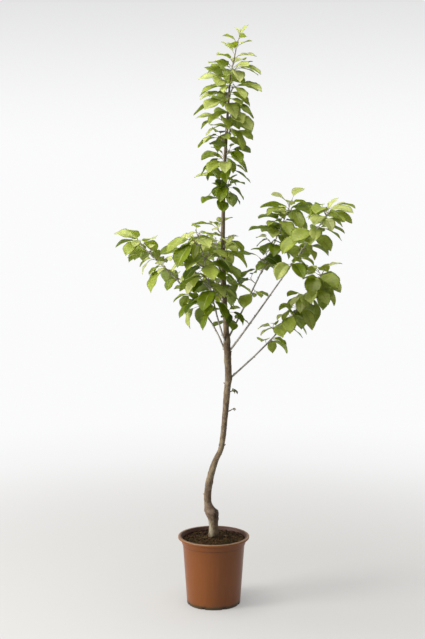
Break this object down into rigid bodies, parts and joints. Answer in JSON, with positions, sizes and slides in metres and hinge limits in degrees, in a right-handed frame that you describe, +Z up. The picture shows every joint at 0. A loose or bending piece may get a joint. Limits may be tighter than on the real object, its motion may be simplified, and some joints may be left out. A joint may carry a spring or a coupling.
{
  "type": "potted sweet cherry tree",
  "caption": "Young grafted cherry tree with slender rising boughs, leafy sprays and a tall leader, rooted in compost in a round tapered pot.",
  "frame": {"origin": "centre of the pot's flat underside, on the surface that the pot stands on", "axes": "+Z up along the tree, +X to the tree's right seen from the front, -Y towards the front"},
  "size_m": [0.79, 0.4648, 1.9225],
  "materials": {
    "pot": "semi-matte moulded",
    "compost": "loose moist potting compost",
    "trunk_bark": "grey-brown bark with lenticels",
    "bough_bark": "smooth young bark",
    "leaves": "fresh green, slightly glossy above"
  },
  "bodies": {
    "root": {"bough_back": "bough_bark", "bough_left_high": "bough_bark", "bough_left_low": "bough_bark", "bough_right_high": "bough_bark", "bough_right_long": "bough_bark", "bough_right_low": "bough_bark", "foliage_back": "leaves", "foliage_leader_1": "leaves", "foliage_leader_10": "leaves", "foliage_leader_11": "leaves", "foliage_leader_12": "leaves", "foliage_leader_13": "leaves", "foliage_leader_14": "leaves", "foliage_leader_15": "leaves", "foliage_leader_16": "leaves", "foliage_leader_17": "leaves", "foliage_leader_18": "leaves", "foliage_leader_2": "leaves", "foliage_leader_3": "leaves", "foliage_leader_4": "leaves", "foliage_leader_5": "leaves", "foliage_leader_6": "leaves", "foliage_leader_7": "leaves", "foliage_leader_8": "leaves", "foliage_leader_9": "leaves", "foliage_leader_tip": "leaves", "foliage_left_high": "leaves", "foliage_left_low": "leaves", "foliage_middle_1": "leaves", "foliage_middle_2": "leaves", "foliage_middle_3": "leaves", "foliage_middle_4": "leaves", "foliage_middle_5": "leaves", "foliage_middle_6": "leaves", "foliage_middle_7": "leaves", "foliage_middle_8": "leaves", "foliage_right_high": "leaves", "foliage_right_long": "leaves", "foliage_right_low": "leaves", "pot": "pot", "soil": "compost", "trunk": "trunk_bark"}
  },
  "joints": []
}
